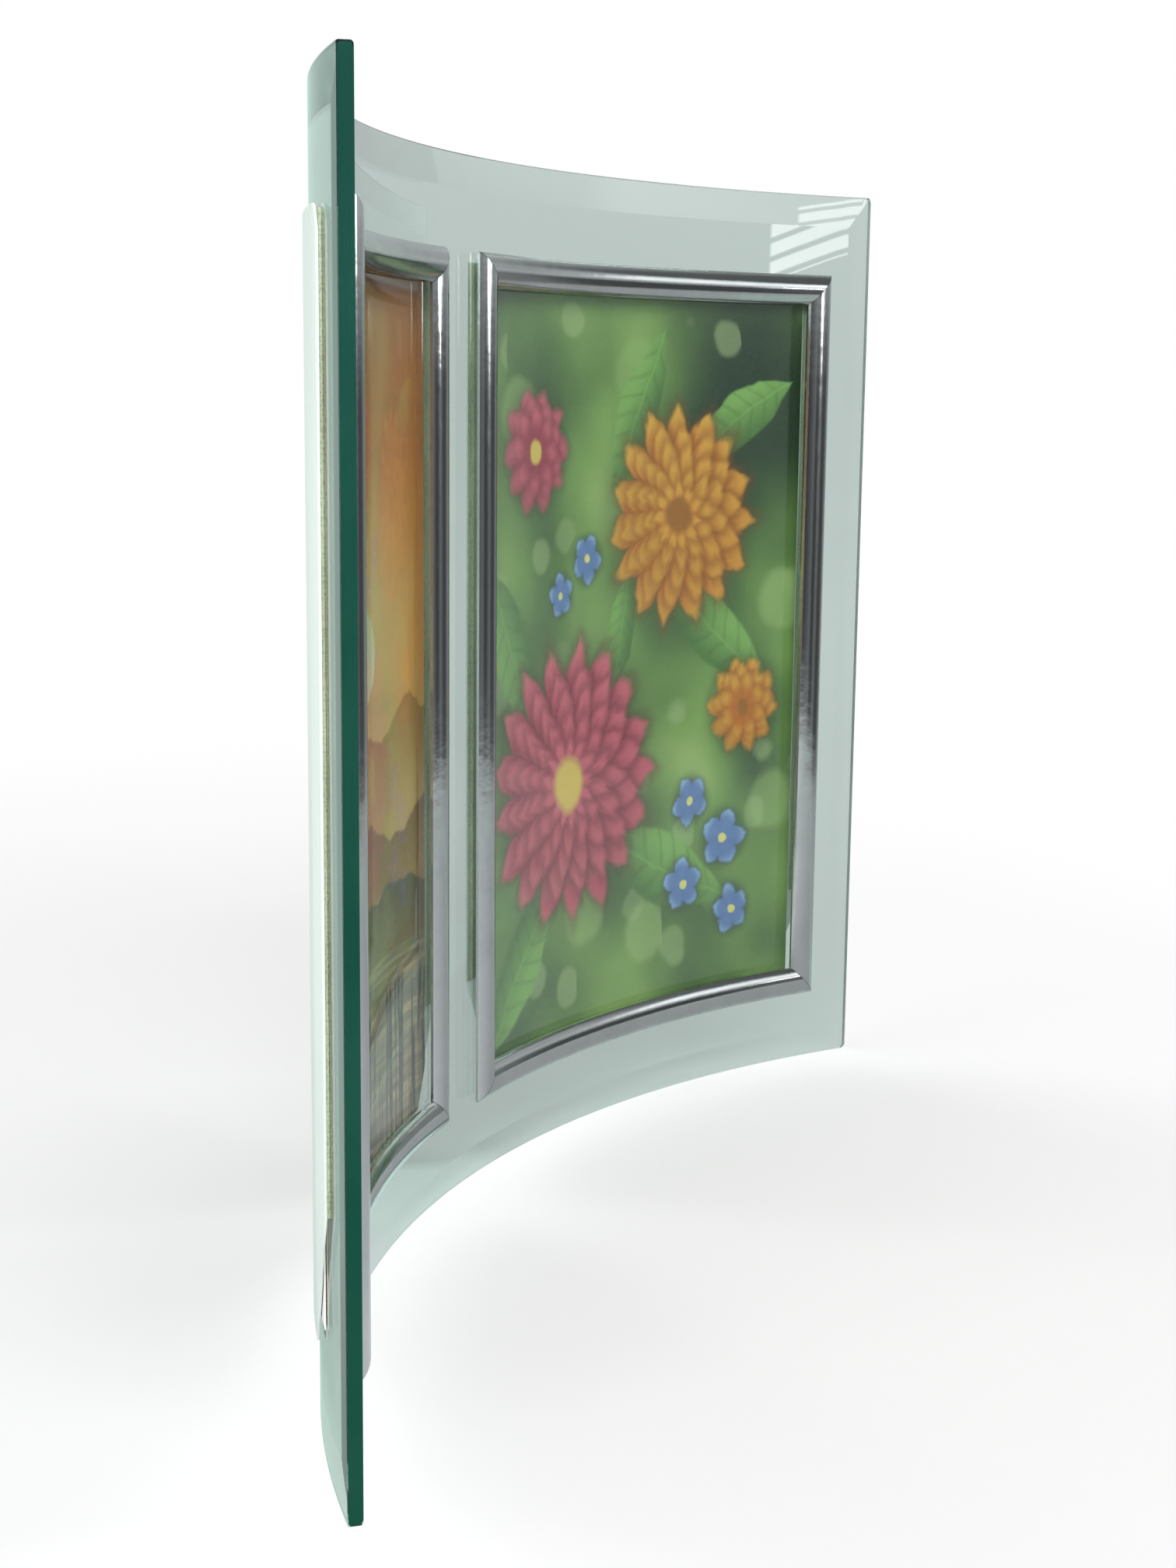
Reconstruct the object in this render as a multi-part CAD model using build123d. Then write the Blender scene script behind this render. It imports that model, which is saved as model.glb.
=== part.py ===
from build123d import *
import os
from math import cos, degrees, sin

# Curved glass photo frame, in millimetres
# A bent and bevelled glass panel stands on its own edge. Two mitred silver frames are
# bonded to its hollow front, and a print slides into a pocket behind each of them.
# Lengths "along the bend" are arc lengths on the hollow face, from the panel's middle.

# Glass panel
glass_height = 230.0
glass_length = 322.0        # along the bend, end to end
bend_radius = 240.0         # hollow face
glass_thickness = 4.0
bevel_width = 8.0
bevel_depth = 1.4
glass_corner_radius = 0.8
glass_arris = 0.4           # ground-off back edge

# Prints
print_width = 127.0
print_height = 178.0
print_thickness = 0.2

# Silver mouldings
moulding_width = 7.5
moulding_height = 2.6
moulding_side = 0.6         # upright side below the rounded crown
sight_lap = 1.0             # how far a moulding laps over an edge of the print
frame_gap = 18.0            # along the bend, between the two frames
frame_drop = 0.8            # middle of the frames below the middle of the glass
bond_thickness = 0.25
bond_clearance = 0.2        # hairline between a bond strip and the hollow face
bond_inset = 1.0            # bond strip back from the moulding's edges

# Print pockets
tape_thickness = 0.5
tape_lift = 22.0            # lower end of the side tapes above the print's lower edge
tape_top_inset = 1.0        # upper end of the side tapes below the back panel's top
side_clearance = 0.5        # between a print's edge and the tape
stop_length = 82.0          # bottom tape that the print stands on, along the bend
stop_height = 5.0
panel_thickness = 0.5
panel_drop = 1.2            # top of the back panel below the top of the frame
panel_top_radius = 5.0
panel_corner_cut = 14.0     # lower corners cut away, along the panel's foot

# Radii of the layers, from the front of the panel to its back
bond_back = bend_radius - bond_clearance
moulding_back = bond_back - bond_thickness
glass_back = bend_radius + glass_thickness
panel_front = glass_back + tape_thickness
panel_back = panel_front + panel_thickness
print_front = glass_back + (tape_thickness - print_thickness) / 2
print_back = print_front + print_thickness


def along_bend(length, radius):
    """Arc on the hollow face that spans the same angle as a length at another radius."""
    return length * bend_radius / radius


# Places along the bend
glass_end = glass_length / 2
print_edge = along_bend(print_width / 2, print_front)
pocket_edge = along_bend(print_width / 2 + side_clearance, print_front)
sight_edge = along_bend(print_width / 2 - sight_lap, print_front)
frame_edge = sight_edge + moulding_width
frame_centre = frame_gap / 2 + frame_edge
stop_edge = stop_length / 2
panel_foot_edge = frame_edge - panel_corner_cut

# Heights above the table
frame_middle = glass_height / 2 - frame_drop
print_foot = frame_middle - print_height / 2
print_top = print_foot + print_height
sight_foot = print_foot + sight_lap
sight_top = print_top - sight_lap
frame_foot = sight_foot - moulding_width
frame_top = sight_top + moulding_width
panel_top = frame_top - panel_drop
panel_foot = print_foot - stop_height
tape_foot = print_foot + tape_lift
tape_top = panel_top - tape_top_inset


def plan_point(radius, place):
    """Point in plan, seen from above, at a radius and a place along the bend."""
    angle = place / bend_radius
    return (radius * sin(angle), radius * cos(angle))


def plan_arc(radius, first, last):
    """Arc about the bend's axis in plan."""
    middle = (first + last) / 2
    return ThreePointArc(plan_point(radius, first), plan_point(radius, middle), plan_point(radius, last))


def plan_line(first_radius, first, last_radius, last):
    """Straight line in plan between two places."""
    return Line(plan_point(first_radius, first), plan_point(last_radius, last))


def turn(section, first, last):
    """Turns a section, drawn as radius and height, about the bend's axis."""
    start = Rot(Z=-degrees(last / bend_radius)) * (Plane.YZ * section)
    return revolve(start, Axis.Z, degrees((last - first) / bend_radius))


def bent_strip(inner, outer, first, last, foot, top):
    """Rectangular sheet bent about the axis, between two radii, places and heights."""
    middle = Pos((inner + outer) / 2, (foot + top) / 2)
    return turn(middle * Rectangle(outer - inner, top - foot), first, last)


def short_edges(sheet, thickness):
    """Edges of a bent sheet that run through its thickness, from the lowest up."""
    return sheet.edges().filter_by(lambda edge: edge.length < 1.5 * thickness).sort_by(Axis.Z)


def edge_cuts(level, inwards):
    """Front bevel and back arris along the glass edge at a level, as cutting rings."""
    slope = bevel_depth / bevel_width
    run_out = bevel_depth
    bevel = Polyline(
        (bend_radius - run_out * slope, level + inwards * (bevel_width + run_out)),
        (bend_radius + bevel_depth + run_out * slope, level - inwards * run_out),
        (bend_radius - bevel_depth, level - inwards * run_out),
        close=True,
    )
    arris = Polyline(
        (glass_back - 2 * glass_arris, level - inwards * glass_arris),
        (glass_back + glass_arris, level + inwards * 2 * glass_arris),
        (glass_back + glass_arris, level - inwards * glass_arris),
        close=True,
    )
    reach = glass_end + bevel_width
    return [turn(make_face(outline), -reach, reach) for outline in (bevel, arris)]


def make_glass_panel():
    """Bent sheet with ground ends, a bevel all round its hollow face and rounded corners."""
    edge_front = bend_radius + bevel_depth
    edge_back = glass_back - glass_arris
    outline = Curve() + [
        plan_arc(glass_back, glass_arris - glass_end, glass_end - glass_arris),
        plan_arc(bend_radius, bevel_width - glass_end, glass_end - bevel_width),
    ]
    for side in (-1, 1):
        end = side * glass_end
        outline += plan_line(glass_back, end - side * glass_arris, edge_back, end)
        outline += plan_line(edge_back, end, edge_front, end)
        outline += plan_line(edge_front, end, bend_radius, end - side * bevel_width)
    panel = extrude(make_face(outline), glass_height)
    end_width = edge_back - edge_front
    corners = panel.edges().filter_by(lambda edge: abs(edge.length - end_width) < glass_arris / 10)
    panel = fillet(corners, glass_corner_radius)
    for level, inwards in ((0.0, 1), (glass_height, -1)):
        for ring in edge_cuts(level, inwards):
            panel -= ring
    return panel


def slanted_plane(radius, start, end, kept):
    """Plane through the layers from one place and height to another, facing those that are kept."""
    start_point, end_point, kept_point = (
        Vector(*plan_point(radius, place), height) for place, height in (start, end, kept)
    )
    through = Vector(*plan_point(1.0, (start[0] + end[0]) / 2), 0.0)
    normal = through.cross(end_point - start_point)
    if normal.dot(kept_point - start_point) < 0:
        normal = -normal
    return Plane(origin=start_point, z_dir=normal)


def mitre_plane(side, upper, kept):
    """Mitre at one corner of a frame, facing the piece that is kept."""
    frame_corner = (side * frame_edge, frame_top if upper else frame_foot)
    sight_corner = (side * sight_edge, sight_top if upper else sight_foot)
    return slanted_plane(moulding_back, frame_corner, sight_corner, kept)


def make_rail(upper):
    """Curved half-round rail, mitred at both ends."""
    foot = sight_top if upper else frame_foot
    top = foot + moulding_width
    side_front = moulding_back - moulding_side
    crown = (moulding_back - moulding_height, (foot + top) / 2)
    outline = Curve() + [
        Polyline((side_front, foot), (moulding_back, foot), (moulding_back, top), (side_front, top)),
        ThreePointArc((side_front, top), crown, (side_front, foot)),
    ]
    rail = turn(make_face(outline), -frame_edge, frame_edge)
    for side in (-1, 1):
        rail = split(rail, mitre_plane(side, upper, (0.0, (foot + top) / 2)), Keep.TOP)
    return rail


def make_stile(side):
    """Upright half-round stile, mitred at both ends."""
    first, last = sorted((side * sight_edge, side * frame_edge))
    side_front = moulding_back - moulding_side
    crown = plan_point(moulding_back - moulding_height, (first + last) / 2)
    outline = Curve() + [
        plan_arc(moulding_back, first, last),
        plan_line(moulding_back, last, side_front, last),
        ThreePointArc(plan_point(side_front, last), crown, plan_point(side_front, first)),
        plan_line(side_front, first, moulding_back, first),
    ]
    stile = Pos(0, 0, frame_foot) * extrude(make_face(outline), frame_top - frame_foot)
    for upper in (False, True):
        stile = split(stile, mitre_plane(side, upper, ((first + last) / 2, frame_middle)), Keep.TOP)
    return stile


def make_rail_bond(upper):
    """Bond strip under a rail."""
    foot = sight_top if upper else frame_foot
    reach = frame_edge - bond_inset
    top = foot + moulding_width
    return bent_strip(moulding_back, bond_back, -reach, reach, foot + bond_inset, top - bond_inset)


def make_stile_bond(side):
    """Bond strip under a stile, between the strips of the rails."""
    first, last = sorted((side * (sight_edge + bond_inset), side * (frame_edge - bond_inset)))
    return bent_strip(moulding_back, bond_back, first, last, sight_foot, sight_top)


def make_side_tape(side):
    """Foam tape between the glass and the back panel, beside the print."""
    first, last = sorted((side * pocket_edge, side * frame_edge))
    return bent_strip(glass_back, panel_front, first, last, tape_foot, tape_top)


def make_bottom_tape():
    """Foam tape that closes the middle of the pocket's foot and carries the print."""
    return bent_strip(glass_back, panel_front, -stop_edge, stop_edge, panel_foot, print_foot)


def make_back_panel():
    """Thin bent sheet with rounded upper corners, its lower corners cut away below the side tapes."""
    panel = bent_strip(panel_front, panel_back, -frame_edge, frame_edge, panel_foot, panel_top)
    panel = fillet(short_edges(panel, panel_thickness)[2:], panel_top_radius)
    for side in (-1, 1):
        tape_end = (side * frame_edge, tape_foot)
        foot_end = (side * panel_foot_edge, panel_foot)
        panel = split(panel, slanted_plane(panel_front, tape_end, foot_end, (0.0, frame_middle)), Keep.TOP)
    return panel


def make_print():
    """Paper print, bent to the pocket."""
    return bent_strip(print_front, print_back, -print_edge, print_edge, print_foot, print_top)


def picture_set(name, side):
    """One frame and its pocket: outer is the side towards the panel's end."""
    pieces = {
        f"{name}_top_rail": make_rail(True),
        f"{name}_bottom_rail": make_rail(False),
        f"{name}_outer_stile": make_stile(side),
        f"{name}_inner_stile": make_stile(-side),
        f"{name}_top_rail_bond": make_rail_bond(True),
        f"{name}_bottom_rail_bond": make_rail_bond(False),
        f"{name}_outer_stile_bond": make_stile_bond(side),
        f"{name}_inner_stile_bond": make_stile_bond(-side),
        f"{name}_outer_tape": make_side_tape(side),
        f"{name}_inner_tape": make_side_tape(-side),
        f"{name}_bottom_tape": make_bottom_tape(),
        f"{name}_back_panel": make_back_panel(),
        f"{name}_print": make_print(),
    }
    around = Rot(Z=-degrees(side * frame_centre / bend_radius))
    return {node: around * piece for node, piece in pieces.items()}


nodes = {"glass_panel": make_glass_panel()}
for name, side in (("left", -1), ("right", 1)):
    nodes.update(picture_set(name, side))

# The origin is on the table, under the middle of the whole object's box
box_middle = Compound(list(nodes.values())).bounding_box().center()
os.makedirs("parts", exist_ok=True)
for node, piece in nodes.items():
    export_step(Pos(0, -box_middle.Y, 0) * piece, f"parts/{node}.step")
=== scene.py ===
"""Looks of a free-standing curved glass photo frame with two silver frames and slide-in prints.

Every piece is modelled flat, as it would be before bending: x runs along the bend on the hollow
face, y is the depth behind that face and z the height. bend_mesh then wraps it round the bend's axis.
"""

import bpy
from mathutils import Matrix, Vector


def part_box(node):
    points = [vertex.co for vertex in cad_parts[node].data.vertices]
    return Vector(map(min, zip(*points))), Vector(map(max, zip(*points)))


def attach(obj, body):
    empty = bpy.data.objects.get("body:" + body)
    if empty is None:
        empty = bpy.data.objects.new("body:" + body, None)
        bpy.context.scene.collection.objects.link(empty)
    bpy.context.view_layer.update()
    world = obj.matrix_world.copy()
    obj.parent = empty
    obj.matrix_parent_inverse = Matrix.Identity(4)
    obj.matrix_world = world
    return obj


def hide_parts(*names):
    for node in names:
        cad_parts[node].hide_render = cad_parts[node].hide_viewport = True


bl_info = {
    "name": "Curved Glass Photo Frame",
    "version": (1, 0, 0),
    "blender": (4, 5, 0),
    "location": "3D View > Sidebar > Photo Frame",
    "description": "Dresses a bent glass photo frame with glass, silver mouldings and prints",
    "category": "Object",
}

from math import asin, cos, pi, radians, sin
from typing import NamedTuple

import bmesh
import bpy
from bpy.props import FloatProperty, FloatVectorProperty, IntProperty, PointerProperty
from mathutils import Matrix, Vector

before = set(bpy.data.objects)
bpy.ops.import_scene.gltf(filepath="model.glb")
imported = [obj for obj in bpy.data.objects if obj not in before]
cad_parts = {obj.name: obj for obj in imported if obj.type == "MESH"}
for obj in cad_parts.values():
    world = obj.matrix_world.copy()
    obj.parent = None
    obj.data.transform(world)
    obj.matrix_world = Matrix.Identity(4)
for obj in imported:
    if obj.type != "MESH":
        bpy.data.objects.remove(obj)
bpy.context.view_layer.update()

SIDES = {"left": -1, "right": 1}
MERGE_DISTANCE = 1e-6
MM_PER_M = 1000.0
SHARP_ANGLE = radians(35)
GLASS_SHARP_ANGLE = radians(6)
GLASS_RIM_ANGLE = radians(45)
PANEL_RIM_ANGLE = radians(80)
FACING = 0.9    # part of a face's normal along an axis that it faces
CURL_STEPS = 6
CURL_POWER = 1.5


def length(name, description, default):
    """Property for a size in metres."""
    return FloatProperty(name=name, description=description, default=default, unit="LENGTH", precision=5)


def colour(name, description, default):
    """Property for a linear colour."""
    return FloatVectorProperty(
        name=name, description=description, default=default, subtype="COLOR", size=3, min=0.0, max=1.0
    )


def angle(name, description, degrees):
    """Property for an angle."""
    return FloatProperty(name=name, description=description, default=radians(degrees), subtype="ANGLE")


def power(name, description, watts):
    """Property for the power of a lamp."""
    return FloatProperty(name=name, description=description, default=watts, unit="POWER")


class PhotoFrameSizes(bpy.types.PropertyGroup):
    """Sizes of the pieces that the frame's boxes don't give by themselves."""

    bend_radius: length("Bend radius", "Radius of the hollow face of the glass", 0.240)
    glass_thickness: length("Glass thickness", "Thickness of the bent glass", 0.004)
    bevel_width: length("Bevel width", "Width of the bevel round the hollow face", 0.008)
    bevel_depth: length("Bevel depth", "Depth of the bevel at the glass edge", 0.0014)
    corner_radius: length("Corner radius", "Rounding of the four glass corners", 0.0008)
    arris: length("Arris", "Small flat on the back edges of the glass", 0.0004)
    rim_rounding: length("Rim rounding", "Rounding of the front edges at the glass's top and foot", 0.0007)
    moulding_height: length("Moulding height", "Crown of a moulding above its back", 0.0026)
    moulding_side: length("Moulding side", "Straight side of a moulding at its back", 0.0006)
    mitre_seam: length("Mitre seam", "Hairline that each mitre keeps from the next piece", 0.00005)
    bond_clearance: length("Bond clearance", "Hairline between a bond strip and the glass", 0.0002)
    bond_thickness: length("Bond thickness", "Thickness of a bond strip", 0.00025)
    bond_inset: length("Bond inset", "Bond strip back from the moulding's edges", 0.001)
    tape_thickness: length("Tape thickness", "Thickness of the foam tape", 0.0005)
    tape_rounding: length("Tape rounding", "Rounding of the foam tape's edges", 0.00012)
    panel_thickness: length("Panel thickness", "Thickness of a back panel", 0.0005)
    panel_top_radius: length("Panel top radius", "Rounding of a back panel's upper corners", 0.005)
    panel_corner_cut: length("Panel corner cut", "Lower corners cut away, along a back panel's foot", 0.014)
    panel_rounding: length("Panel rounding", "Rounding of a back panel's edges", 0.00015)
    print_width: length("Print width", "Width of a print", 0.127)
    print_thickness: length("Print thickness", "Thickness of a print", 0.0002)
    print_curl: length("Print curl", "How far the left print's inner lower corner curls back", 0.0025)
    bend_step: length("Bend step", "Length of one facet along the bend", 0.003)
    crown_steps: IntProperty(
        name="Crown steps", description="Facets across a moulding's crown", default=24, min=6
    )


class PhotoFrameColours(bpy.types.PropertyGroup):
    """Colours of the finishes."""

    glass_face: colour("Glass faces", "Colour that the faces of the glass let through", (0.57, 0.65, 0.62))
    glass_body: colour("Glass body", "Colour that the body of the glass lets through", (0.325, 0.46, 0.41))
    ground_edge_top: colour("Edge, top", "Ground glass edge at its upper end", (0.005, 0.046, 0.034))
    ground_edge_foot: colour("Edge, foot", "Ground glass edge at its lower end", (0.001, 0.045, 0.026))
    ground_edge_cloud: colour("Edge, cloud", "Paler patches of the ground edge", (0.02, 0.085, 0.065))
    # Painted light: paler tone of the ground edge where it is seen through the glass, standing in for light
    # let in through it
    ground_edge_lit_inside: colour("Edge, inside", "Ground edge seen through the glass", (0.26, 0.31, 0.28))
    silver: colour("Silver", "Polished mouldings", (0.56, 0.575, 0.57))
    bond: colour("Bond", "Bond strips under the mouldings", (0.42, 0.44, 0.43))
    foam: colour("Foam", "Foam tape", (0.29, 0.34, 0.23))
    panel: colour("Panel", "White back panels", (0.70, 0.76, 0.72))
    paper: colour("Paper", "Back and edges of the prints", (0.86, 0.86, 0.84))


class PhotoFrameStage(bpy.types.PropertyGroup):
    """Camera and light."""

    camera_offset: FloatVectorProperty(
        name="Camera offset", description="Camera from the foot of the hollow face's middle",
        default=(-0.4589, -0.2059, 0.1807), subtype="TRANSLATION", size=3,
    )
    yaw: angle("Yaw", "Heading of the view, from +Y towards +X", 66.853)
    pitch: angle("Pitch", "Tilt of the view above the horizon", -10.154)
    roll: angle("Roll", "Roll of the camera", 0.238)
    lens: FloatProperty(name="Lens", description="Focal length on a 36 mm sensor", default=52.93)
    shift_x: FloatProperty(name="Shift X", description="Sideways shift of the view", default=0.0575)
    shift_y: FloatProperty(name="Shift Y", description="Upright shift of the view", default=0.0109)
    room_radius: length("Room radius", "Room that shows in reflections", 0.85)
    ambient: FloatProperty(name="Ambient", description="Light from all round", default=0.55, min=0.0)
    key: power("Key", "Front lamp", 17.0)
    fill: power("Fill", "Lamp at the far side", 12.0)
    back: power("Back", "Lamp behind the glass", 12.0)
    side: power("Side", "Lamp beside the near end", 9.0)
    near: power("Near", "Lamp beside the camera", 11.0)


class PhotoFrameSettings(bpy.types.PropertyGroup):
    """All settings of the photo frame."""

    sizes: PointerProperty(type=PhotoFrameSizes)
    colours: PointerProperty(type=PhotoFrameColours)
    stage: PointerProperty(type=PhotoFrameStage)


class Layout:
    """Places along the bend, depths and heights, from the frame and the settings, in metres."""

    def __init__(self, sizes):
        self.sizes = sizes
        glass_low, glass_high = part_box("glass_panel")
        self.radius = sizes.bend_radius
        end_angle = asin(glass_high.x / (self.radius + sizes.glass_thickness - sizes.arris))
        self.glass_end = self.radius * end_angle
        self.axis_y = glass_low.y - (self.radius + sizes.bevel_depth) * cos(end_angle)
        self.glass_foot = glass_low.z
        self.glass_top = glass_high.z

        self.glass_back = sizes.glass_thickness
        self.panel_front = self.glass_back + sizes.tape_thickness
        self.panel_back = self.panel_front + sizes.panel_thickness
        self.print_front = (self.glass_back + self.panel_front - sizes.print_thickness) / 2
        self.print_back = self.print_front + sizes.print_thickness
        self.bond_back = -sizes.bond_clearance
        self.moulding_back = self.bond_back - sizes.bond_thickness

        rail_low, rail_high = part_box("right_top_rail")
        foot_rail_low, foot_rail_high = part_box("right_bottom_rail")
        self.frame_top = rail_high.z
        self.sight_top = rail_low.z
        self.frame_foot = foot_rail_low.z
        self.sight_foot = foot_rail_high.z
        self.moulding_width = self.frame_top - self.sight_top

        tape_low, tape_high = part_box("right_inner_tape")
        self.tape_foot = tape_low.z
        self.tape_top = tape_high.z
        self.frame_inner = self.place(tape_low.x, self.glass_back)
        self.pocket_inner = self.place(tape_high.x, self.panel_front)
        self.frame_outer = self.place(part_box("right_outer_tape")[1].x, self.panel_front)
        self.pocket_outer = self.frame_outer - (self.pocket_inner - self.frame_inner)
        self.frame_centre = (self.frame_inner + self.frame_outer) / 2
        self.frame_half = (self.frame_outer - self.frame_inner) / 2

        stop_low, stop_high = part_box("right_bottom_tape")
        self.panel_foot = stop_low.z
        self.print_foot = stop_high.z
        self.stop_half = self.place(stop_high.x, self.panel_front) - self.frame_centre
        self.panel_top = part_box("right_back_panel")[1].z
        self.print_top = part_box("right_print")[1].z
        self.print_half = sizes.print_width / 2 * self.radius / (self.radius + self.print_front)

    def place(self, x, depth):
        """Place along the bend of a point at an x and a depth."""
        return self.radius * asin(x / (self.radius + depth))

    def span(self, side, half):
        """First and last place of what reaches evenly to both sides of a frame's middle."""
        return side * self.frame_centre - half, side * self.frame_centre + half

    def corner_cut(self, centre, way):
        """Point and outward normal of the slant that takes off a back panel's lower corner."""
        point = Vector((centre + way * self.frame_half, 0.0, self.tape_foot))
        normal = Vector((way * (self.tape_foot - self.panel_foot), 0.0, -self.sizes.panel_corner_cut))
        return point, normal.normalized()


def settings():
    """Settings of the scene."""
    return bpy.context.scene.photo_frame


def layout():
    """Layout for the present settings."""
    return Layout(settings().sizes)


def on_side(side, first, last):
    """Two places that are given for the right side, moved to one side and put in order."""
    return sorted((side * first, side * last))


def flat_box(first, last, front, back, foot, top):
    """Flat block between two places, depths and heights."""
    bm = bmesh.new()
    centre = Vector((first + last, front + back, foot + top)) / 2
    scale = Matrix.Diagonal((last - first, back - front, top - foot, 1.0))
    bmesh.ops.create_cube(bm, size=1.0, matrix=Matrix.Translation(centre) @ scale)
    return bm


def cut(bm, point, normal, **options):
    """Cuts all of a mesh along a plane and gives back the edges of the cut."""
    geometry = bm.verts[:] + bm.edges[:] + bm.faces[:]
    made = bmesh.ops.bisect_plane(
        bm, geom=geometry, dist=MERGE_DISTANCE, plane_co=point, plane_no=normal, **options
    )
    return [item for item in made["geom_cut"] if isinstance(item, bmesh.types.BMEdge)]


def cut_across(bm, first, last, step):
    """Cuts a mesh into slices of about one step along the bend."""
    count = max(1, round((last - first) / step))
    for number in range(1, count):
        cut(bm, (first + (last - first) * number / count, 0.0, 0.0), (1.0, 0.0, 0.0))


def trim(bm, point, normal):
    """Cuts off what lies beyond a plane and closes the cut."""
    bmesh.ops.contextual_create(bm, geom=cut(bm, point, normal, clear_outer=True))


def edges_where(bm, test):
    """Edges whose two ends both pass a test."""
    return [edge for edge in bm.edges if all(test(vert.co) for vert in edge.verts)]


def through_edges(edges, thickness):
    """Edges that run through a sheet from front to back."""
    return [edge for edge in edges if abs(edge.verts[0].co.y - edge.verts[1].co.y) > thickness / 2]


def sharp_edges(edges, least):
    """Edges whose two faces meet at more than an angle."""
    return [edge for edge in edges if len(edge.link_faces) == 2 and edge.calc_face_angle() > least]


def round_edges(bm, edges, radius, segments):
    """Rounds edges."""
    bmesh.ops.bevel(
        bm, geom=edges, offset=radius, offset_type="OFFSET", segments=segments, profile=0.5,
        affect="EDGES", material=-1, clamp_overlap=True,
    )


def bend_mesh(bm, plan):
    """Wraps a flat mesh round the bend's axis."""
    for vert in bm.verts:
        swing = vert.co.x / plan.radius
        radius = plan.radius + vert.co.y
        vert.co = Vector((radius * sin(swing), plan.axis_y + radius * cos(swing), vert.co.z))


def add_object(bm, name, materials):
    """Turns a mesh in the making into an object of the scene."""
    mesh = bpy.data.meshes.new(name)
    bm.to_mesh(mesh)
    bm.free()
    for material in materials:
        mesh.materials.append(material)
    made = bpy.data.objects.new(name, mesh)
    bpy.context.scene.collection.objects.link(made)
    return made


def add_piece(bm, node, body, materials, sharp_angle=SHARP_ANGLE):
    """Turns a finished mesh into the piece that stands for a node."""
    bmesh.ops.remove_doubles(bm, verts=bm.verts, dist=MERGE_DISTANCE)
    bmesh.ops.recalc_face_normals(bm, faces=bm.faces)
    piece = add_object(bm, f"dressed_{node}", materials)
    piece.data.shade_smooth()
    piece.data.set_sharp_from_angle(angle=sharp_angle)
    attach(piece, body)
    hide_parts(node)
    return piece


def add_strip(plan, node, finish, depths, places, heights, rounding=0.0):
    """Models one thin strip that is fixed to the glass."""
    bm = flat_box(*places, *depths, *heights)
    if rounding:
        round_edges(bm, bm.edges[:], rounding, segments=2)
    cut_across(bm, *places, plan.sizes.bend_step)
    bend_mesh(bm, plan)
    add_piece(bm, node, "frame", [finish])


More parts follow.
